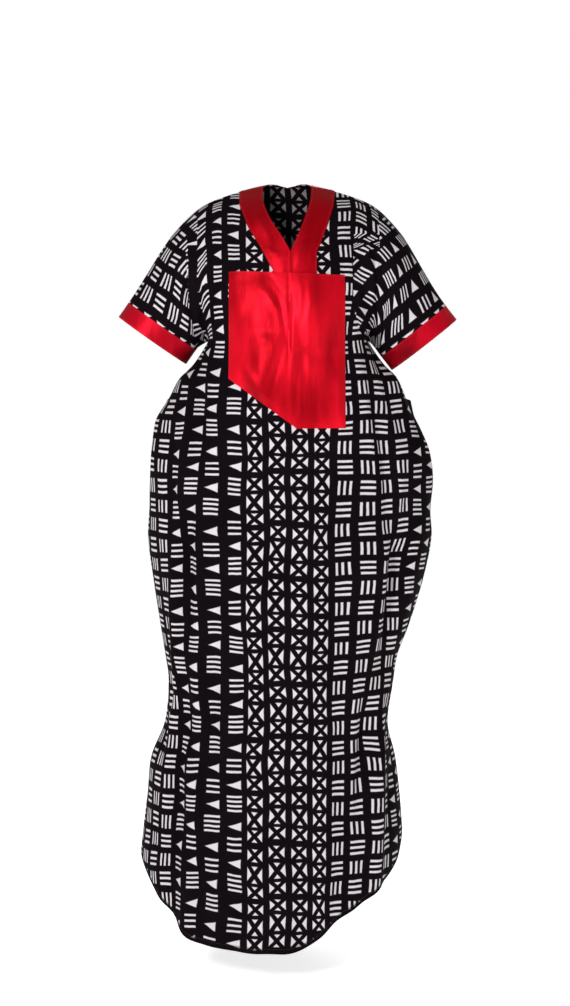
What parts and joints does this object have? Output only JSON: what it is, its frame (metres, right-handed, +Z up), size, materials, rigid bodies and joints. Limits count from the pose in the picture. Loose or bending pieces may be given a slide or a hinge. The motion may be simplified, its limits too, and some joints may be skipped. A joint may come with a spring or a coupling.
{
  "type": "kaftan",
  "caption": "Loose ankle-length kaftan with short wide sleeves, V neck, satin trim, chest panel and side pockets, in its worn form.",
  "frame": {"origin": "middle of the neck opening, just under the top of the shoulder line, where a wearer's neck and shoulders hold the garment up", "axes": "+Z up, the garment's front towards -Y, +X towards the wearer's left"},
  "size_m": [0.6318, 0.3201, 1.3935],
  "materials": {
    "print_cotton": "printed plain-weave cotton, near-black with off-white motifs",
    "satin": "scarlet satin with a soft sheen",
    "pocketing": "plain black cotton pocketing, matt"
  },
  "bodies": {
    "root": {"front": "print_cotton", "back": "print_cotton", "cuff_right": "satin", "cuff_left": "satin", "neckband_right": "satin", "neckband_left": "satin", "chest_panel": "satin", "pocket_right": "pocketing", "pocket_left": "pocketing"}
  },
  "joints": []
}
